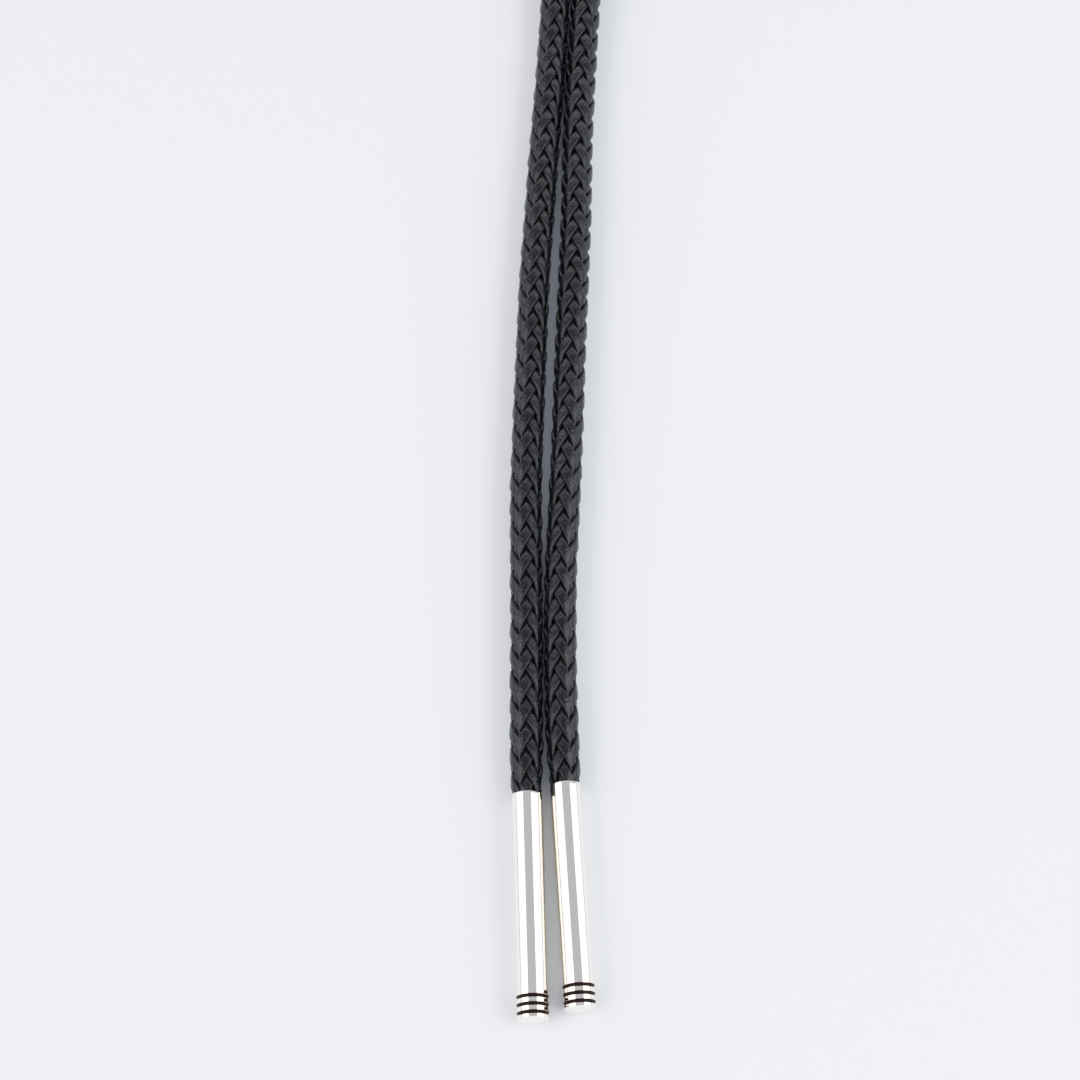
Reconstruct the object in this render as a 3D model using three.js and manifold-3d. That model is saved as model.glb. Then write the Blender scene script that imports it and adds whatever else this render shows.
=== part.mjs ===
// A bolo tie lying face up on a flat surface: a braided leather cord whose neck loop and two free
// ends meet in a plain silver slide, with a grooved silver tip on each free end.
//
// Millimetres, +Z up. The origin is the centre of the slide's flat underside, on the surface.
// +Y runs from the slide into the neck loop, and the free ends run towards -Y.

import * as THREE from 'three';
import { mergeVertices } from 'three/addons/utils/BufferGeometryUtils.js';
import Module from 'manifold-3d';

// Cord
const cordRadius = 3;
const cordSides = 12;
const cordStep = 13;                // length of one straight stretch of the tube

// Clearance kept between pieces that touch on the real tie
const clearance = 0.3;

// Slide: a flattened tube with one slot for both legs of the cord
const slideLength = 22;
const slideWall = 1.4;
const slideEdgeRound = 0.7;
const slotRadius = cordRadius + clearance;
const legOffset = 3.15;             // from the middle of the slide to the middle of each leg
const slideRadius = slotRadius + slideWall;
const slideArcSegments = 14;
const slideBevelSegments = 3;
const slotOverrun = 1;              // how far the slot's cutter passes each end of the slide

// Tips: a tube with a closed flat end and three turned grooves beside it
const tipRadius = 2.88;
const tipLength = 41.3;
const boreRadius = 2.55;
const boreDepth = 18;
const mouthChamfer = 0.1;
const grooveCount = 3;
const grooveWidth = 0.58;
const groovePitch = 1.45;
const grooveDepth = 0.25;
const endRib = 0.75;                // from the last groove to the end face
const endRound = 0.2;
const endRoundSteps = 4;
const tipSegments = 40;

// The cord's end is pared down to go into the tip's bore
const plugRadius = boreRadius - clearance;
const plugOverlap = 3;              // how far the pared end starts inside the full cord
const plugSegments = 24;

// Each tip lies with the wider cord holding its mouth up and its end on the surface.
// heading is the turn from -Y towards +X, in degrees.
const leftTip = { name: 'left_tip', mouth: [-9.38, -194.75], heading: 1.64 };
const rightTip = { name: 'right_tip', mouth: [-2.42, -192.9], heading: 3.35 };
const tipTilt = Math.asin((cordRadius - tipRadius) / tipLength);

// Routes of the cord's middle line, chosen by hand. They start in the middle of the slide.
const splitGap = clearance / 2;     // each route starts this far from the middle of the slide
const legHeight = slideRadius;

const leftRoute = [
  [-legOffset, -splitGap, legHeight],
  [-legOffset, -6, legHeight],
  [-3.2, -12, 4.58],
  [-3.75, -21, 3.75],
  [-4.3, -30, 3.18],
  [-4.9, -40, 3.02],
  [-6.05, -56, 3],
  [-7.15, -73, 3],
  [-8.15, -89, 3],
  [-8.75, -105, 3],
  [-9.3, -120, 3],
  [-9.65, -135, 3],
  [-9.6, -150, 3],
  [-9.5, -161, 3],
  [-9.5, -171, 3],
  [-9.48, -182, 3],
];

const rightRoute = [
  [legOffset, -splitGap, legHeight],
  [legOffset, -6, legHeight],
  [3.08, -12, 4.58],
  [2.52, -21, 3.75],
  [1.98, -30, 3.18],
  [1.4, -40, 3.02],
  [0.62, -56, 3],
  [0.22, -73, 3],
  [-0.45, -89, 3],
  [-1.15, -105, 3],
  [-1.65, -120, 3],
  [-2.3, -135, 3],
  [-3.05, -150, 3],
  [-3.22, -161, 3],
  [-3.2, -171, 3],
  [-2.97, -182, 3],
];

// The right half of the neck loop, from the slide round to the back of the neck.
const halfLoop = [
  [legOffset, splitGap, legHeight],
  [legOffset, 6, legHeight],
  [3.2, 12, 4.58],
  [3.9, 21, 3.75],
  [6.4, 31.5, 3.16],
  [11.9, 44, 3.02],
  [20, 56, 3],
  [29.9, 68, 3],
  [39.8, 80.5, 3],
  [47.8, 94, 3],
  [52.8, 109, 3],
  [54, 125, 3],
  [50.9, 140.5, 3],
  [43.7, 154, 3],
  [32.9, 164.8, 3],
  [19.4, 171.8, 3],
  [6.5, 174.6, 3],
];

const weldTolerance = 1e-4;

const leather = new THREE.MeshStandardMaterial({ color: 0x2c2f32, roughness: 0.5, metalness: 0 });
const silver = new THREE.MeshStandardMaterial({ color: 0xe6e6e8, roughness: 0.12, metalness: 1 });

const wasm = await Module();
wasm.setup();

// A closed three.js geometry as a solid that can be joined and cut.
function toSolid(geometry) {
  const bare = geometry.clone();
  bare.deleteAttribute('normal');
  bare.deleteAttribute('uv');
  const merged = mergeVertices(bare, weldTolerance);
  const mesh = new wasm.Mesh({
    numProp: 3,
    vertProperties: new Float32Array(merged.attributes.position.array),
    triVerts: new Uint32Array(merged.index.array),
  });
  return new wasm.Manifold(mesh);
}

// A solid back as a three.js geometry.
function toGeometry(solid) {
  const mesh = solid.getMesh();
  const geometry = new THREE.BufferGeometry();
  geometry.setAttribute('position', new THREE.BufferAttribute(mesh.vertProperties, 3));
  geometry.setIndex(new THREE.BufferAttribute(mesh.triVerts, 1));
  geometry.computeVertexNormals();
  return geometry;
}

// A regular polygon with a corner straight up, straight down and at each side.
function cordSection() {
  const corners = [];
  for (let i = 0; i < cordSides; i += 1) {
    const angle = (2 * Math.PI * i) / cordSides;
    corners.push(new THREE.Vector2(cordRadius * Math.cos(angle), cordRadius * Math.sin(angle)));
  }
  return new THREE.Shape(corners);
}

// The cord as a tube along a smooth curve through its route.
function cordTube(route) {
  const points = route.map(([x, y, z]) => new THREE.Vector3(x, y, z));
  const curve = new THREE.CatmullRomCurve3(points, false, 'centripetal');
  const steps = Math.round(curve.getLength() / cordStep);
  return new THREE.ExtrudeGeometry(cordSection(), { steps, extrudePath: curve, bevelEnabled: false });
}

// Turns and moves an object made along +Y from the origin, so that it starts at a tip's mouth and runs along it.
function placeOnTip(object, tip) {
  object.rotation.set(-tipTilt, 0, Math.PI + THREE.MathUtils.degToRad(tip.heading), 'ZYX');
  object.position.set(tip.mouth[0], tip.mouth[1], cordRadius);
  object.updateMatrix();
  return object;
}

// One free end: the tube up to the tip's mouth, and the pared end that goes into its bore.
function freeEnd(route, tip) {
  const alongTip = placeOnTip(new THREE.Object3D(), tip).matrix;
  const lead = new THREE.Vector3(0, -cordRadius, 0).applyMatrix4(alongTip);
  const end = new THREE.Vector3(0, -clearance, 0).applyMatrix4(alongTip);
  const tube = cordTube([...route, lead.toArray(), end.toArray()]);
  const plugLength = plugOverlap + boreDepth - clearance;
  const plug = new THREE.CylinderGeometry(plugRadius, plugRadius, plugLength, plugSegments);
  plug.translate(0, plugLength / 2 - plugOverlap, 0);
  plug.applyMatrix4(alongTip);
  return toGeometry(toSolid(tube).add(toSolid(plug)));
}

// The neck loop: the right half of the route, and the same mirrored back to the slide.
function neckLoop() {
  const mirrored = halfLoop.map(([x, y, z]) => [-x, y, z]).reverse();
  return cordTube([...halfLoop, ...mirrored]);
}

// Half of a tip's section, turned about its middle line: bore, mouth, outer wall with grooves, end face.
function tipGeometry() {
  const profile = [
    [0, boreDepth],
    [boreRadius, boreDepth],
    [boreRadius, mouthChamfer],
    [boreRadius + mouthChamfer, 0],
    [tipRadius - mouthChamfer, 0],
    [tipRadius, mouthChamfer],
  ];
  const lastGroove = tipLength - endRib - grooveWidth;
  for (let i = grooveCount - 1; i >= 0; i -= 1) {
    const start = lastGroove - i * groovePitch;
    profile.push([tipRadius, start]);
    profile.push([tipRadius - grooveDepth, start]);
    profile.push([tipRadius - grooveDepth, start + grooveWidth]);
    profile.push([tipRadius, start + grooveWidth]);
  }
  for (let i = 0; i <= endRoundSteps; i += 1) {
    const angle = (Math.PI / 2) * (i / endRoundSteps);
    profile.push([
      tipRadius - endRound * (1 - Math.cos(angle)),
      tipLength - endRound * (1 - Math.sin(angle)),
    ]);
  }
  profile.push([0, tipLength]);
  const points = profile.map(([radius, along]) => new THREE.Vector2(radius, along));
  return new THREE.LatheGeometry(points, tipSegments);
}

// A stadium outline round the two legs of the cord, in the slide's cross-section.
function stadium(radius) {
  const shape = new THREE.Shape();
  shape.absarc(legOffset, 0, radius, -Math.PI / 2, Math.PI / 2, false);
  shape.absarc(-legOffset, 0, radius, Math.PI / 2, (3 * Math.PI) / 2, false);
  shape.closePath();
  return shape;
}

// The slide: a rounded stadium bar, cut through by the slot for the cord.
function slideGeometry() {
  const bar = new THREE.ExtrudeGeometry(stadium(slideRadius), {
    depth: slideLength - 2 * slideEdgeRound,
    curveSegments: slideArcSegments,
    bevelThickness: slideEdgeRound,
    bevelSize: slideEdgeRound,
    bevelOffset: -slideEdgeRound,
    bevelSegments: slideBevelSegments,
  });
  bar.translate(0, 0, -(slideLength / 2 - slideEdgeRound));
  const slot = new THREE.ExtrudeGeometry(stadium(slotRadius), {
    depth: slideLength + 2 * slotOverrun,
    curveSegments: slideArcSegments,
    bevelEnabled: false,
  });
  slot.translate(0, 0, -(slideLength / 2 + slotOverrun));
  return toGeometry(toSolid(bar).subtract(toSolid(slot)));
}

const boloTie = new THREE.Group();

function addPiece(name, geometry, material) {
  const mesh = new THREE.Mesh(geometry, material);
  mesh.name = name;
  boloTie.add(mesh);
  return mesh;
}

const slide = addPiece('slide', slideGeometry(), silver.clone());
slide.rotation.x = Math.PI / 2;
slide.position.z = slideRadius;

addPiece('neck_loop', neckLoop(), leather.clone());
addPiece('left_free_end', freeEnd(leftRoute, leftTip), leather.clone());
addPiece('right_free_end', freeEnd(rightRoute, rightTip), leather.clone());

for (const tip of [leftTip, rightTip]) {
  placeOnTip(addPiece(tip.name, tipGeometry(), silver.clone()), tip);
}

export default boloTie;
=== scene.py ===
from math import pi, radians

import bpy
import numpy as np
from mathutils import Euler, Matrix, Vector


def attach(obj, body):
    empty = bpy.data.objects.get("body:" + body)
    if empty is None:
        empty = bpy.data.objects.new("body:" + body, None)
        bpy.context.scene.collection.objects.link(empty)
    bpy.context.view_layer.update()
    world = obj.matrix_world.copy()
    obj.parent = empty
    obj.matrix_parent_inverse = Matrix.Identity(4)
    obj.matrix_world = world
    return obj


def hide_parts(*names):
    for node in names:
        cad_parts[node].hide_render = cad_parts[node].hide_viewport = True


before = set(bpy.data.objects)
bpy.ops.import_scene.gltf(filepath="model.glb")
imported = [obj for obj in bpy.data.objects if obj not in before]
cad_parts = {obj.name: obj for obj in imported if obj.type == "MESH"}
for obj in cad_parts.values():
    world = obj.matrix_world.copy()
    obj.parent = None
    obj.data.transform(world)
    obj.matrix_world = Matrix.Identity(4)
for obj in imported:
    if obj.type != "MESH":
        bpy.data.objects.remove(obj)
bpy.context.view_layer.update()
scene = bpy.context.scene
mm = 0.001
print("frame loaded")


# ---- camera: it looks down on the two tips, with the neck loop beyond the top of the view
cameraSet = {
    "place": (-7.0 * mm, -351.0 * mm, 457.0 * mm),
    "pitch": 65.5,      # degrees below the horizon
    "lens": 88.3,
    "sensor": 36.0,
}


def addCamera(values):
    camera = bpy.data.cameras.new("viewCamera")
    camera.lens = values["lens"]
    camera.sensor_width = values["sensor"]
    camera.clip_start = 0.01
    holder = bpy.data.objects.new("viewCamera", camera)
    holder.location = values["place"]
    holder.rotation_euler = (radians(90 - values["pitch"]), 0, 0)
    scene.collection.objects.link(holder)
    scene.camera = holder


addCamera(cameraSet)
print("camera placed")


# ---- shared helpers for meshes
def finishMesh(name, points, faces, smooth=True):
    # one mesh object at the origin, with its place in its points
    mesh = bpy.data.meshes.new(name)
    mesh.from_pydata(points.reshape(-1, 3).tolist(), [], faces)
    mesh.validate()
    mesh.shade_smooth() if smooth else mesh.shade_flat()
    piece = bpy.data.objects.new(name, mesh)
    scene.collection.objects.link(piece)
    return piece


def gridFaces(rows, columns, closedRows=False):
    # quads of a grid whose columns run round and join up; its rows join up too where closedRows is True
    down = np.arange(rows if closedRows else rows - 1)[:, None]
    across = np.arange(columns)[None, :]
    below, beside = (down + 1) % rows, (across + 1) % columns
    quads = [down * columns + across, down * columns + beside, below * columns + beside, below * columns + across]
    return np.stack(np.broadcast_arrays(*quads), axis=-1).reshape(-1, 4)


def unit(vectors):
    return vectors / np.linalg.norm(vectors, axis=-1, keepdims=True)


def setAttribute(piece, name, values):
    attribute = piece.data.attributes.new(name, "FLOAT", "POINT")
    attribute.data.foreach_set("value", np.asarray(values, np.float32).ravel())


# ---- cord routes in millimetres, the same points as the part's own cords have
slideSet = {
    "length": 22.0,
    "wall": 1.4,
    "slotRadius": 3.3,
    "legOffset": 3.15,
    "outerRound": 0.7,      # radius of the outer end edges
    "innerRound": 0.45,     # radius of the slot's end edges
}
tipSet = {
    "radius": 2.88,
    "length": 41.3,
    "boreRadius": 2.55,
    "boreDepth": 18.0,
    "grooveCount": 3,
    "grooveWidth": 0.58,
    "groovePitch": 1.45,
    "grooveDepth": 0.25,
    "grooveLip": 0.05,      # radius of the edges of a groove
    "endRib": 0.75,         # from the last groove to the end face
    "endRound": 0.2,
    "endDome": 0.1,         # how far the middle of the end face stands out
    "endFaceShare": 0.86,   # how far out the domed face reaches, as a share of the radius
    "around": 128,
    # patina runs from 0, bright silver, through brown tarnish to 1, black oxide
    "borePatina": 0.6,
    "mouthPatina": ((180, 0.6), (285, 0.5), (315, 0.0)),    # by the angle round the rim
    "patinaBeforeGroove": ((0.22, 0.0), (0.12, 0.12)),      # by the distance from the groove
    "patinaAfterGroove": ((0.12, 0.12), (0.2, 0.0)),
    "lipPatina": (0.35, 0.95),                              # at the wall, and at the groove
}
cordRadius = 3.0
legHeight = slideSet["slotRadius"] + slideSet["wall"]
legOffset = slideSet["legOffset"]
splitGap = 0.15
cordLift = 0.17         # the strands stand a little prouder than the cord's nominal radius, so the cord lies higher

leftRoute = [
    (-legOffset, -splitGap, legHeight), (-legOffset, -6, legHeight), (-3.2, -12, 4.58), (-3.75, -21, 3.75),
    (-4.3, -30, 3.18), (-4.9, -40, 3.02), (-6.05, -56, 3), (-7.15, -73, 3), (-8.15, -89, 3), (-8.75, -105, 3),
    (-9.3, -120, 3), (-9.65, -135, 3), (-9.6, -150, 3), (-9.5, -161, 3), (-9.5, -171, 3), (-9.48, -182, 3),
]
rightRoute = [
    (legOffset, -splitGap, legHeight), (legOffset, -6, legHeight), (3.08, -12, 4.58), (2.52, -21, 3.75),
    (1.98, -30, 3.18), (1.4, -40, 3.02), (0.62, -56, 3), (0.22, -73, 3), (-0.45, -89, 3), (-1.15, -105, 3),
    (-1.65, -120, 3), (-2.3, -135, 3), (-3.05, -150, 3), (-3.22, -161, 3), (-3.2, -171, 3), (-2.97, -182, 3),
]
halfLoop = [
    (legOffset, splitGap, legHeight), (legOffset, 6, legHeight), (3.2, 12, 4.58), (3.9, 21, 3.75),
    (6.4, 31.5, 3.16), (11.9, 44, 3.02), (20, 56, 3), (29.9, 68, 3), (39.8, 80.5, 3), (47.8, 94, 3),
    (52.8, 109, 3), (54, 125, 3), (50.9, 140.5, 3), (43.7, 154, 3), (32.9, 164.8, 3), (19.4, 171.8, 3),
    (6.5, 174.6, 3),
]
tips = {
    "left": {"mouth": (-9.38, -194.75), "heading": 1.64},
    "right": {"mouth": (-2.42, -192.9), "heading": 3.35},
}


def tipPlace(tip):
    # turns +Y to run along the tip from its mouth, in millimetres; the cord holds the mouth up, the end lies down
    tilt = np.arcsin((cordRadius - tipSet["radius"]) / tipSet["length"])
    turn = Euler((-tilt, 0, pi + radians(tip["heading"])), "XYZ").to_matrix().to_4x4()
    return Matrix.Translation((tip["mouth"][0], tip["mouth"][1], cordRadius)) @ turn


def smoothRoute(points, perStretch=60):
    # a curve through every point: each stretch is a cubic whose end slopes come from the points on both
    # sides, weighted by the square roots of the distances between them
    p = np.array(points, float)
    p = np.vstack([2 * p[0] - p[1], p, 2 * p[-1] - p[-2]])
    gap = np.sqrt(np.linalg.norm(np.diff(p, axis=0), axis=1))[:, None]
    before, here, after = gap[:-2], gap[1:-1], gap[2:]
    p0, p1, p2, p3 = p[:-3], p[1:-2], p[2:-1], p[3:]
    slopeIn = ((p1 - p0) / before - (p2 - p0) / (before + here) + (p2 - p1) / here) * here
    slopeOut = ((p2 - p1) / here - (p3 - p1) / (here + after) + (p3 - p2) / after) * here
    t = np.linspace(0, 1, perStretch, endpoint=False)[None, :, None]
    p1, p2, slopeIn, slopeOut = (x[:, None, :] for x in (p1, p2, slopeIn, slopeOut))
    curve = (
        p1 * (2 * t**3 - 3 * t**2 + 1) + slopeIn * (t**3 - 2 * t**2 + t)
        + p2 * (3 * t**2 - 2 * t**3) + slopeOut * (t**3 - t**2)
    )
    return np.vstack([curve.reshape(-1, 3), p[-2]])


def alongRoute(line, step):
    # evenly spaced distances along a line, and the point, heading, side and up directions at each
    travelled = np.concatenate([[0], np.cumsum(np.linalg.norm(np.diff(line, axis=0), axis=1))])
    distance = np.linspace(0, travelled[-1], int(round(travelled[-1] / step)) + 1)
    centre = np.stack([np.interp(distance, travelled, line[:, i]) for i in range(3)], axis=1)
    heading = unit(np.gradient(centre, distance, axis=0))
    side = unit(np.cross(heading, (0, 0, 1)))
    return distance, centre, heading, side, np.cross(side, heading)


# ---- the braid: six strands each way, every one over two and under two
braidSet = {
    "strandsEachWay": 6,
    "middleRadius": 2.15,       # of the strands' middle lines where they cross from under to over
    "rise": 0.62,               # from there out to the top of a float
    "snap": 0.95,               # how suddenly a strand rises and dips; higher gives flatter floats
    "laceWidth": 1.92,
    "laceWidthSpread": 0.06,    # a lace lies this much wider on top and narrower underneath
    "laceThickness": 0.68,
    "laceWrap": 0.5,            # 0 is a flat lace, 1 one that is bent all the way round the cord
    "crown": 0.025,
    "coreRadius": 1.62,
    "coreSides": 16,
    "firstAngle": pi / 12,      # where the first strand starts
    # no lace is quite even: slow waves, each with its size and its length along the cord, and how much they
    # move a lace outwards and round the cord, change its width and tilt it
    "waves": ((0.55, 23.0), (0.45, 9.5)),
    "waveOut": 0.035,
    "waveRound": 0.012,
    "waveWidth": 0.02,
    "waveTilt": 0.05,
    "patternShift": (37.0, 5.0),    # how far the leather's pattern moves along and across from lace to lace
}


def laceSection():
    # shares of the half-width and half-thickness round one lace, and how much of each point is cut edge:
    # a flat bar with softly rounded top corners
    half = np.array([
        (0.0, 1.0, 0.0), (0.5, 1.0, 0.0), (0.86, 1.0, 0.05), (0.94, 0.9, 0.4), (0.985, 0.7, 0.8), (1.0, 0.4, 1.0),
        (1.0, -0.7, 1.0), (0.93, -1.0, 0.4),
    ])
    mirrored = half[:0:-1] * (-1, 1, 1)
    return np.vstack([mirrored, half]).T


def braidMesh(name, line, step, over, pick, start, twist, squeeze, seed):
    # each strand winds round the route at a steady pitch; its distance from the middle line is the middle
    # radius plus the rise times a flattened cosine of three times its angle, which swaps sign between the
    # two directions, so that six bands of floats run along the cord
    distance, centre, heading, side, up = alongRoute(line, step)
    count = braidSet["strandsEachWay"]
    chance = np.random.default_rng(seed)
    share = distance / distance[-1]
    pickHere = np.interp(share, [0, 1], pick)
    turned = np.concatenate([[0], np.cumsum(np.diff(distance) / (0.5 * (pickHere[1:] + pickHere[:-1])))])
    turned = (turned + start) * 2 * pi / count
    twistHere = np.radians(np.interp(distance, *zip(*twist)))
    tightness = squeeze(distance)
    strand = np.arange(2 * count)
    way = np.where(strand < count, 1.0, -1.0)[:, None]
    angle = braidSet["firstAngle"] + way * (turned[None, :] + 2 * pi * (strand % count)[:, None] / count)
    sway = sum(
        size * np.sin(distance[None, :] * 2 * pi / length + chance.uniform(0, 2 * pi, (2 * count, 1)))
        for size, length in braidSet["waves"]
    )
    lift = over * way * np.tanh(braidSet["snap"] * np.cos(3 * angle)) / np.tanh(braidSet["snap"])
    radius = braidSet["middleRadius"] + braidSet["rise"] * lift + braidSet["waveOut"] * sway
    radius = radius * tightness
    turn = angle + twistHere[None, :] + braidSet["waveRound"] * sway
    outward = np.cos(turn)[..., None] * up + np.sin(turn)[..., None] * side
    middle = centre + radius[..., None] * outward
    along = unit(np.gradient(middle, axis=1))
    outward = unit(outward - (outward * along).sum(-1, keepdims=True) * along)
    beside = np.cross(along, outward)
    tilt = braidSet["waveTilt"] * np.roll(sway, 3, axis=0)[..., None]
    beside, outward = (
        beside * np.cos(tilt) + outward * np.sin(tilt),
        outward * np.cos(tilt) - beside * np.sin(tilt),
    )

    across, height, cutShare = laceSection()
    width = braidSet["laceWidth"] + braidSet["laceWidthSpread"] * lift
    width = width * (1 + braidSet["waveWidth"] * sway) * tightness
    u = 0.5 * width[..., None] * across
    v = 0.5 * braidSet["laceThickness"] * tightness[None, :, None] * height
    v = v + braidSet["crown"] * (1 - across**2) * (height > 0)
    v = v - braidSet["laceWrap"] * u**2 / (2 * radius[..., None].clip(1.0))
    points = (
        middle[:, :, None, :] + u[..., None] * beside[:, :, None, :] + v[..., None] * outward[:, :, None, :]
    )

    steps, ring = len(distance), len(across)
    lace = gridFaces(steps, ring)
    faces = []
    for number in range(2 * count):
        first = number * steps * ring
        faces += (lace + first).tolist()
        faces.append(list(range(first, first + ring))[::-1])
        faces.append(list(range(first + (steps - 1) * ring, first + steps * ring)))
    coreWidth = braidSet["coreRadius"] * tightness
    corePoints, coreFaces = plainTube(centre, side, up, coreWidth, braidSet["coreSides"])
    faces += [[corner + points.reshape(-1, 3).shape[0] for corner in face] for face in coreFaces]
    allPoints = np.vstack([points.reshape(-1, 3), corePoints.reshape(-1, 3)]) * mm
    piece = finishMesh(name, allPoints, faces)

    coreCount = corePoints.reshape(-1, 3).shape[0]
    edge = np.broadcast_to(cutShare, points.shape[:3]).ravel()
    setAttribute(piece, "laceEdge", np.concatenate([edge, np.zeros(coreCount)]))
    depth = np.broadcast_to((1 - lift[..., None]) / 2, points.shape[:3]).ravel()
    setAttribute(piece, "laceDepth", np.concatenate([depth, np.ones(coreCount)]))
    shiftAlong, shiftAcross = braidSet["patternShift"]
    lengthways = np.broadcast_to((distance[None, :] + shiftAlong * strand[:, None])[..., None], points.shape[:3])
    uv = np.stack([lengthways, u + shiftAcross * strand[:, None, None]], axis=-1).reshape(-1, 2)
    uv = np.vstack([uv, np.zeros((coreCount, 2))])
    corner = np.zeros(len(piece.data.loops), np.int32)
    piece.data.loops.foreach_get("vertex_index", corner)
    laceMap = piece.data.uv_layers.new(name="laceMillimetres")
    laceMap.data.foreach_set("uv", uv[corner].astype(np.float32).ravel())
    return piece, centre


def plainTube(centre, side, up, radius, sides):
    # a closed tube: a circle of the given radius carried along the middle line, with a flat face at each end
    angle = np.linspace(0, 2 * pi, sides, endpoint=False)
    spoke = np.cos(angle)[None, :, None] * up[:, None, :] - np.sin(angle)[None, :, None] * side[:, None, :]
    points = centre[:, None, :] + radius[:, None, None] * spoke
    faces = gridFaces(len(centre), sides)[:, ::-1].tolist()
    faces.append(list(range(sides)))
    faces.append(list(range(len(centre) * sides - 1, (len(centre) - 1) * sides - 1, -1)))
    return points, faces


# ---- the two free ends
freeEndSet = {
    "step": 0.75,
    "intoBore": 3.0,        # how far the laces run on inside the tip
    # pick is the rise of the braid from one lace to the next, at the slide and at the tip; twist is how far
    # the braid is turned to the left, in degrees, at distances from the middle of the slide
    "left": {
        "over": 1, "pick": (5.4, 4.9), "start": -0.16, "seed": 3,
        "twist": [(0, 12), (90, 12), (140, 14), (170, 17), (200, 16)],
    },
    "right": {
        "over": -1, "pick": (5.4, 4.9), "start": -0.12, "seed": 8,
        "twist": [(0, -28), (65, -30), (90, -27), (117, -20), (142, -15), (200, -16)],
    },
    # distance from the tip's mouth, and the share of its full size that the cord has there
    "squeeze": [(-3, 0.76), (-0.1, 0.79), (0.15, 0.86), (0.6, 0.9), (1.5, 0.925), (4.0, 0.955), (9.0, 1.0)],
}


def makeFreeEnd(name, route, tip, values):
    place = tipPlace(tip)
    beforeMouth = [place @ Vector((0, -far, 0)) for far in (3.0, 0.3)]
    inBore = place @ Vector((0, freeEndSet["intoBore"], 0))
    line = smoothRoute([*route, *beforeMouth, inBore])
    line[:, 2] += cordLift * np.clip((line[:, 1] - tip["mouth"][1]) / 10, 0, 1)
    mouthAt = np.linalg.norm(np.diff(line, axis=0), axis=1).sum() - freeEndSet["intoBore"]
    fromMouth, share = zip(*freeEndSet["squeeze"])
    piece, centre = braidMesh(
        name, line, freeEndSet["step"], values["over"], values["pick"], values["start"], values["twist"],
        lambda distance: np.interp(mouthAt - distance, fromMouth, share), values["seed"],
    )
    return piece, centre * mm


leftFreeEnd, leftPath = makeFreeEnd("leftFreeEnd", leftRoute, tips["left"], freeEndSet["left"])
rightFreeEnd, rightPath = makeFreeEnd("rightFreeEnd", rightRoute, tips["right"], freeEndSet["right"])
print("free ends braided")


# ---- the neck loop: the same cord, from the slide round the back of the neck and back
neckLoopSet = {
    "step": 1.0, "over": 1, "pick": (5.2, 5.2), "start": 0.0, "seed": 5,
    "twist": [(0, 6), (110, 24), (220, 40), (330, 22), (441, 6)],
}


def makeNeckLoop(values):
    mirrored = [(-x, y, z) for x, y, z in reversed(halfLoop)]
    line = smoothRoute([*halfLoop, *mirrored])
    line[:, 2] += cordLift * np.clip((legHeight - line[:, 2]), 0, 1)
    return braidMesh(
        "neckLoop", line, values["step"], values["over"], values["pick"], values["start"], values["twist"],
        np.ones_like, values["seed"],
    )[0]


neckLoop = makeNeckLoop(neckLoopSet)
print("neck loop braided")


# ---- the tips: a turned section of arcs and straight lines, spun round the tip's middle line
def arc(centreRadius, centreAlong, radius, start, end, steps):
    # points on a circle, from the start to the end angle in degrees; 0 points outwards and 90 towards the end
    angle = np.radians(np.linspace(start, end, steps + 1))
    return np.stack([centreRadius + radius * np.cos(angle), centreAlong + radius * np.sin(angle)], axis=1)


def tipSection():
    # rows of (radius, distance from the mouth, patina): up the bore, round the mouth, along the wall, over the end
    s = tipSet
    rows = [np.array([
        [0.0, s["boreDepth"], 1.0], [s["boreRadius"], s["boreDepth"], 1.0], [s["boreRadius"], 1.0, s["borePatina"]],
    ])]
    rim = (s["radius"] + s["boreRadius"]) / 2
    half = (s["radius"] - s["boreRadius"]) / 2
    mouth = arc(rim, half, half, 180, 360, 12)
    mouthPatina = np.interp(np.linspace(180, 360, len(mouth)), *zip(*s["mouthPatina"]))
    rows.append(np.column_stack([mouth, mouthPatina]))
    firstGroove = s["length"] - s["endRib"] - s["grooveWidth"] - (s["grooveCount"] - 1) * s["groovePitch"]
    body = np.linspace(half + 0.5, firstGroove - 0.6, 12)
    rows.append(np.column_stack([np.full(12, s["radius"]), body, np.zeros(12)]))
    lip, deep, wide = s["grooveLip"], s["grooveDepth"], s["grooveWidth"]
    for number in range(s["grooveCount"]):
        start = firstGroove + number * s["groovePitch"]
        shoulder = arc(s["radius"] - lip, start - lip, lip, 0, 90, 4)
        rise = arc(s["radius"] - lip, start + wide + lip, lip, -90, 0, 4)
        floor = np.array([[s["radius"] - deep, start], [s["radius"] - deep, start + wide]])
        lipPatina = np.linspace(*s["lipPatina"], len(shoulder))
        rows.append(np.array([(s["radius"], start - away, patina) for away, patina in s["patinaBeforeGroove"]]))
        rows.append(np.column_stack([shoulder, lipPatina]))
        rows.append(np.column_stack([floor, np.ones(2)]))
        rows.append(np.column_stack([rise, lipPatina[::-1]]))
        rows.append(np.array([(s["radius"], start + wide + away, patina) for away, patina in s["patinaAfterGroove"]]))
    edge = arc(s["radius"] - s["endRound"], s["length"] - s["endRound"] - s["endDome"], s["endRound"], 0, 80, 8)
    rows.append(np.column_stack([edge, np.zeros(len(edge))]))
    span = np.linspace(s["endFaceShare"], 0, 8) * s["radius"]
    dome = s["length"] - s["endDome"] * (span / s["radius"]) ** 2
    rows.append(np.column_stack([span, dome, np.zeros(8)]))
    return np.vstack(rows)


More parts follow.
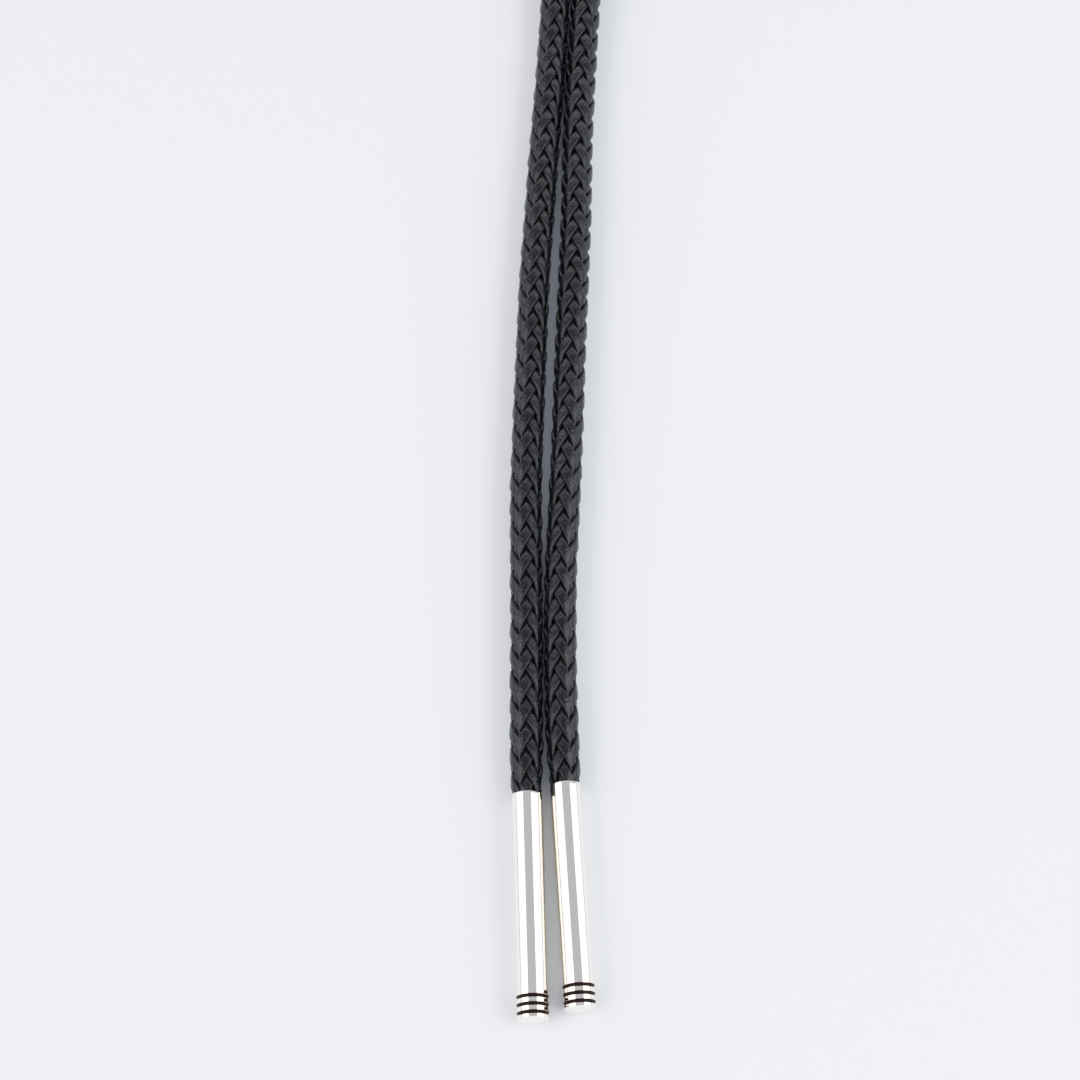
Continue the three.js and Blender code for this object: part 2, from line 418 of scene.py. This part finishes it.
def makeTip(name, tip):
    section = tipSection()
    angle = np.linspace(0, 2 * pi, tipSet["around"], endpoint=False)
    radius, along = section[1:-1, 0][:, None], section[1:-1, 1][:, None]
    level = np.broadcast_to(along, (len(radius), len(angle)))
    ring = np.stack([radius * np.cos(angle), level, radius * np.sin(angle)], axis=-1)
    ends = np.array([[0, section[0, 1], 0], [0, section[-1, 1], 0]])
    points = np.vstack([ring.reshape(-1, 3), ends])
    count, last = tipSet["around"], (len(section) - 3) * tipSet["around"]
    faces = gridFaces(len(radius), count)[:, ::-1].tolist()
    bottom, top = len(points) - 2, len(points) - 1
    faces += [[bottom, i, (i + 1) % count] for i in range(count)]
    faces += [[top, last + (i + 1) % count, last + i] for i in range(count)]
    place = np.array(tipPlace(tip))
    points = points @ place[:3, :3].T + place[:3, 3]
    piece = finishMesh(name, points * mm, faces)
    patina = np.concatenate([np.repeat(section[1:-1, 2], count), section[[0, -1], 2]])
    setAttribute(piece, "patina", patina)
    return piece


leftTip = makeTip("leftTip", tips["left"])
rightTip = makeTip("rightTip", tips["right"])
print("tips turned")


# ---- the slide: the wall's rounded section carried round a stadium whose straight parts lie flat
def makeSlide(name):
    s = slideSet
    outer, half = s["slotRadius"] + s["wall"], s["length"] / 2
    big, small = s["outerRound"], s["innerRound"]
    section = np.vstack([
        arc(outer - big, half - big, big, 0, 90, 8),
        arc(s["slotRadius"] + small, half - small, small, 90, 180, 6),
        arc(s["slotRadius"] + small, -half + small, small, 180, 270, 6),
        arc(outer - big, -half + big, big, 270, 360, 8),
    ])
    turn = np.concatenate([np.linspace(-90, 90, 49), np.linspace(90, 270, 49)])
    middle = np.repeat([s["legOffset"], -s["legOffset"]], 49)
    turn = np.radians(turn)
    reach = section[:, 0][None, :]
    x = middle[:, None] + reach * np.cos(turn)[:, None]
    z = outer + reach * np.sin(turn)[:, None]
    y = np.broadcast_to(section[:, 1][None, :], x.shape)
    points = np.stack([x, y, z], axis=-1)
    faces = gridFaces(points.shape[0], points.shape[1], closedRows=True)
    return finishMesh(name, points * mm, faces.tolist())


slidePiece = makeSlide("slideSleeve")
print("slide made")


# ---- materials
def linear(code):
    # an sRGB hex colour as linear red, green, blue and alpha
    parts = [int(code[i:i + 2], 16) / 255 for i in (1, 3, 5)]
    return [c / 12.92 if c <= 0.04045 else ((c + 0.055) / 1.055) ** 2.4 for c in parts] + [1.0]


def newMaterial(name):
    material = bpy.data.materials.new(name)
    material.use_nodes = True
    tree = material.node_tree
    return material, tree, tree.nodes["Principled BSDF"]


def addNode(tree, kind, inputs=None, **settings):
    # a node with its own settings, and each input either linked to a socket or set to a value
    node = tree.nodes.new(kind)
    for key, value in settings.items():
        setattr(node, key, value)
    for key, value in (inputs or {}).items():
        if isinstance(value, bpy.types.NodeSocket):
            tree.links.new(value, node.inputs[key])
        else:
            node.inputs[key].default_value = value
    return node


leatherSet = {
    "dye": "#050608",
    "paintedDipShade": "#07070a",      # painted shade where a lace dips under the others
    "worn": "#0f1215",
    "cutEdge": "#27282a",
    "scuffed": "#46484b",
    "roughness": 0.19,
    "scuffSize": 0.45,      # millimetres across one rubbed speck
    "grainSize": 0.3,       # millimetres across one pebble of the grain
    "ior": 1.37,            # a wax finish, which mirrors less than bare lacquer
    "creaseSpacing": 0.5,   # millimetres between creases across a lace
}


def makeLeather(values):
    # drum-dyed, wax-finished calf lace: a half-matt black with a fine grain, creases across each lace, paler cut
    # edges, and grey rubbed specks where a lace stands proud; painted shade darkens each lace where it dips under the
    # others
    material, tree, shader = newMaterial("dyedLeatherLace")
    place = addNode(tree, "ShaderNodeTexCoord").outputs["Object"]
    laceMap = addNode(tree, "ShaderNodeUVMap", uv_map="laceMillimetres").outputs["UV"]
    edge = addNode(tree, "ShaderNodeAttribute", attribute_name="laceEdge").outputs["Fac"]
    depth = addNode(tree, "ShaderNodeAttribute", attribute_name="laceDepth").outputs["Fac"]
    cloud = addNode(tree, "ShaderNodeTexNoise", {"Vector": place, "Scale": 220.0, "Detail": 3.0})
    patches = addNode(tree, "ShaderNodeMapRange", {"Value": cloud.outputs["Fac"], "From Min": 0.4, "From Max": 0.75})
    skin = addNode(tree, "ShaderNodeMix", {0: patches.outputs[0], 6: linear(values["dye"]),
                                           7: linear(values["worn"])}, data_type="RGBA")
    edgeShare = addNode(tree, "ShaderNodeMath", {0: edge, 1: 0.7}, operation="MULTIPLY")
    cut = addNode(tree, "ShaderNodeMix", {0: edgeShare.outputs[0], 6: skin.outputs[2], 7: linear(values["cutEdge"])},
                  data_type="RGBA")
    speck = addNode(tree, "ShaderNodeTexNoise", {"Vector": place, "Scale": 1000 / values["scuffSize"],
                                                 "Detail": 2.0})
    scuff = addNode(tree, "ShaderNodeMapRange", {"Value": speck.outputs["Fac"], "From Min": 0.56, "From Max": 0.7})
    proud = addNode(tree, "ShaderNodeMapRange", {"Value": depth, "From Min": 0.0, "From Max": 0.35, "To Min": 0.75,
                                                 "To Max": 0.0})
    rubbed = addNode(tree, "ShaderNodeMath", {0: scuff.outputs[0], 1: proud.outputs[0]}, operation="MULTIPLY")
    inPatch = addNode(tree, "ShaderNodeMath", {0: rubbed.outputs[0], 1: patches.outputs[0]}, operation="MULTIPLY")
    top = addNode(tree, "ShaderNodeMix", {0: inPatch.outputs[0], 6: cut.outputs[2], 7: linear(values["scuffed"])},
                  data_type="RGBA")
    # painted shade: the deeper a lace dips under the others, the more its colour is pulled towards near-black
    paintedDipShade = addNode(tree, "ShaderNodeMath", {0: depth, 1: 0.6}, operation="MULTIPLY")
    colourWithPaintedShade = addNode(tree, "ShaderNodeMix", {0: paintedDipShade.outputs[0], 6: top.outputs[2], 7: linear(values["paintedDipShade"])},
                   data_type="RGBA")
    tree.links.new(colourWithPaintedShade.outputs[2], shader.inputs["Base Color"])

    grain = addNode(tree, "ShaderNodeTexVoronoi", {"Vector": place, "Scale": 1000 / values["grainSize"]},
                    feature="SMOOTH_F1")
    stretched = addNode(tree, "ShaderNodeMapping", {"Vector": laceMap,
                                                    "Scale": (1 / values["creaseSpacing"], 0.35, 1.0)})
    crease = addNode(tree, "ShaderNodeTexNoise", {"Vector": stretched.outputs[0], "Scale": 1.0, "Detail": 4.0,
                                                  "Roughness": 0.6})
    rough = addNode(tree, "ShaderNodeMapRange", {"Value": crease.outputs["Fac"], "From Min": 0.3, "From Max": 0.7,
                                                 "To Min": values["roughness"] - 0.06,
                                                 "To Max": values["roughness"] + 0.12})
    tree.links.new(rough.outputs[0], shader.inputs["Roughness"])
    pebble = addNode(tree, "ShaderNodeBump", {"Height": grain.outputs["Distance"], "Strength": 0.5,
                                              "Distance": 0.00007}, invert=True)
    folded = addNode(tree, "ShaderNodeBump", {"Height": crease.outputs["Fac"], "Strength": 0.6,
                                              "Distance": 0.0002, "Normal": pebble.outputs[0]})
    tree.links.new(folded.outputs[0], shader.inputs["Normal"])
    shader.inputs["IOR"].default_value = values["ior"]
    return material


silverSet = {
    "silver": "#fbf6e9",
    "tarnish": "#96602e",
    "oxide": "#241d1f",
    "roughness": 0.05,
}


def makeSilver(name, values, patinated):
    # polished silver plate over turned brass: mirror bright with faint polishing lines; the grooves are
    # blackened with liver of sulphur, which leaves a thin brown line where the polish stops
    material, tree, shader = newMaterial(name)
    place = addNode(tree, "ShaderNodeTexCoord").outputs["Object"]
    stretched = addNode(tree, "ShaderNodeMapping", {"Vector": place, "Scale": (1.0, 0.03, 1.0)})
    lines = addNode(tree, "ShaderNodeTexNoise", {"Vector": stretched.outputs[0], "Scale": 6000.0, "Detail": 2.0})
    shader.inputs["Metallic"].default_value = 1.0
    haze = addNode(tree, "ShaderNodeMapRange", {"Value": lines.outputs["Fac"], "From Min": 0.35, "From Max": 0.7,
                                                "To Min": values["roughness"], "To Max": values["roughness"] + 0.04})
    if patinated:
        patina = addNode(tree, "ShaderNodeAttribute", attribute_name="patina").outputs["Fac"]
        brown = addNode(tree, "ShaderNodeMapRange", {"Value": patina, "From Min": 0.05, "From Max": 0.5})
        black = addNode(tree, "ShaderNodeMapRange", {"Value": patina, "From Min": 0.35, "From Max": 0.8})
        warm = addNode(tree, "ShaderNodeMix", {0: brown.outputs[0], 6: linear(values["silver"]),
                                               7: linear(values["tarnish"])}, data_type="RGBA")
        colour = addNode(tree, "ShaderNodeMix", {0: black.outputs[0], 6: warm.outputs[2],
                                                 7: linear(values["oxide"])}, data_type="RGBA")
        tree.links.new(colour.outputs[2], shader.inputs["Base Color"])
        matt = addNode(tree, "ShaderNodeMix", {0: black.outputs[0], 2: haze.outputs[0], 3: 0.55}, data_type="FLOAT")
        tree.links.new(matt.outputs[0], shader.inputs["Roughness"])
    else:
        shader.inputs["Base Color"].default_value = linear(values["silver"])
        tree.links.new(haze.outputs[0], shader.inputs["Roughness"])
    return material


leather = makeLeather(leatherSet)
tipSilver = makeSilver("polishedSilverWithOxide", silverSet, True)
slideSilver = makeSilver("polishedSilver", silverSet, False)
for piece in (leftFreeEnd, rightFreeEnd, neckLoop):
    piece.data.materials.append(leather)
for piece in (leftTip, rightTip):
    piece.data.materials.append(tipSilver)
slidePiece.data.materials.append(slideSilver)
print("materials made")


# ---- what each piece stands for and rides on
for piece, node, slot in (
    (leftFreeEnd, "left_free_end", "braided_leather"),
    (rightFreeEnd, "right_free_end", "braided_leather"),
    (neckLoop, "neck_loop", "braided_leather"),
    (leftTip, "left_tip", "silver"),
    (rightTip, "right_tip", "silver"),
    (slidePiece, "slide", "silver"),
):
    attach(piece, "root")
    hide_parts(node)

# ---- floor and light
stageSet = {
    "floorRadius": 2.6,
    "flatRadius": 1.6,      # the floor is flat out to here
    "wallHeight": 0.9,
    "paper": "#edf1f5",
    "sky": "#bcbeca",
    "skyStrength": 1.0,
    "boxDistance": 1.1,
    # each soft box in two parts: degrees from straight up to its near and far edge, and its radiance
    "boxParts": [(31.0, 53.0, 3.2), (53.0, 80.0, 2.2)],
    "boxFront": -1.6,       # the soft boxes run from here to just behind the slide
    "boxBack": 0.29,
    "leftTint": (1.0, 0.97, 0.985),
    "leftShare": 0.94,
    "rightTint": (0.965, 0.98, 1.0),
    "rightShare": 1.12,
    "backPlace": (0, 1.7, 0.75),
    "backSize": (3.4, 0.9),
    "backRadiance": 1.4,
    # how the view rolls off its highlights: brightness as a share of the white level, and what it shows as
    "whiteLevel": 2.2,
    "rollOff": [(0.0, 0.0), (0.25, 0.55), (0.34, 0.67), (0.6, 0.875), (1.0, 1.0)],
}


def makeFloor(values):
    # a flat disc that sweeps up into a low wall all round: height grows as the square of the way past the flat
    ring = np.linspace(0.0, 1.0, 40)[1:] ** 1.5 * values["floorRadius"]
    angle = np.linspace(0, 2 * pi, 64, endpoint=False)
    past = (ring - values["flatRadius"]) / (values["floorRadius"] - values["flatRadius"])
    rise = values["wallHeight"] * np.clip(past, 0, 1) ** 2
    level = np.broadcast_to(rise[:, None], (len(ring), len(angle)))
    points = np.stack([ring[:, None] * np.cos(angle), ring[:, None] * np.sin(angle), level], axis=-1)
    faces = gridFaces(len(ring), len(angle))[:, ::-1].tolist()
    faces.append(list(range(len(angle))))
    floor = finishMesh("paperFloor", points, faces)
    material, tree, shader = newMaterial("mattPaper")
    shader.inputs["Base Color"].default_value = linear(values["paper"])
    shader.inputs["Roughness"].default_value = 0.7
    floor.data.materials.append(material)


def addPanel(name, place, tilt, size, radiance, tint):
    # a flat glowing panel of the given radiance: an area light gives off its radiance times pi times its area
    light = bpy.data.lights.new(name, "AREA")
    light.shape = "RECTANGLE"
    light.size, light.size_y = size
    light.energy = radiance * pi * size[0] * size[1]
    light.color = tint
    holder = bpy.data.objects.new(name, light)
    holder.location = place
    holder.rotation_euler = tilt
    holder.visible_camera = False
    scene.collection.objects.link(holder)


def addSoftBox(name, sideways, tint, share, values):
    # long panels beside the tie, bright above and dimmer towards the floor, facing the middle of the tie
    along = (values["boxFront"] + values["boxBack"]) / 2
    for inner, outer, radiance in values["boxParts"]:
        middle, halfSpan = radians((inner + outer) / 2), radians((outer - inner) / 2)
        width = 2 * values["boxDistance"] * np.tan(halfSpan)
        place = (sideways * values["boxDistance"] * np.sin(middle), along, values["boxDistance"] * np.cos(middle))
        size = (width, values["boxBack"] - values["boxFront"])
        addPanel(name, place, (0, sideways * middle, 0), size, radiance * share, tint)


def setSky(values):
    world = bpy.data.worlds.new("studio")
    world.use_nodes = True
    backdrop = world.node_tree.nodes["Background"]
    backdrop.inputs["Color"].default_value = linear(values["sky"])
    backdrop.inputs["Strength"].default_value = values["skyStrength"]
    scene.world = world


def setRollOff(values):
    # straight up to the pale greys, then a soft shoulder, as film has, so that the floor keeps its shadows
    view = scene.view_settings
    view.view_transform = "Standard"
    view.use_curve_mapping = True
    view.curve_mapping.white_level = (values["whiteLevel"],) * 3
    points = view.curve_mapping.curves[3].points
    points[0].location, points[-1].location = values["rollOff"][0], values["rollOff"][-1]
    for place in values["rollOff"][1:-1]:
        points.new(*place)
    view.curve_mapping.update()


makeFloor(stageSet)
addSoftBox("leftSoftBox", -1, stageSet["leftTint"], stageSet["leftShare"], stageSet)
addSoftBox("rightSoftBox", 1, stageSet["rightTint"], stageSet["rightShare"], stageSet)
addPanel("backPanel", stageSet["backPlace"], (radians(90), 0, pi), stageSet["backSize"], stageSet["backRadiance"],
         (1, 1, 1))
setSky(stageSet)
setRollOff(stageSet)
print("stage lit")
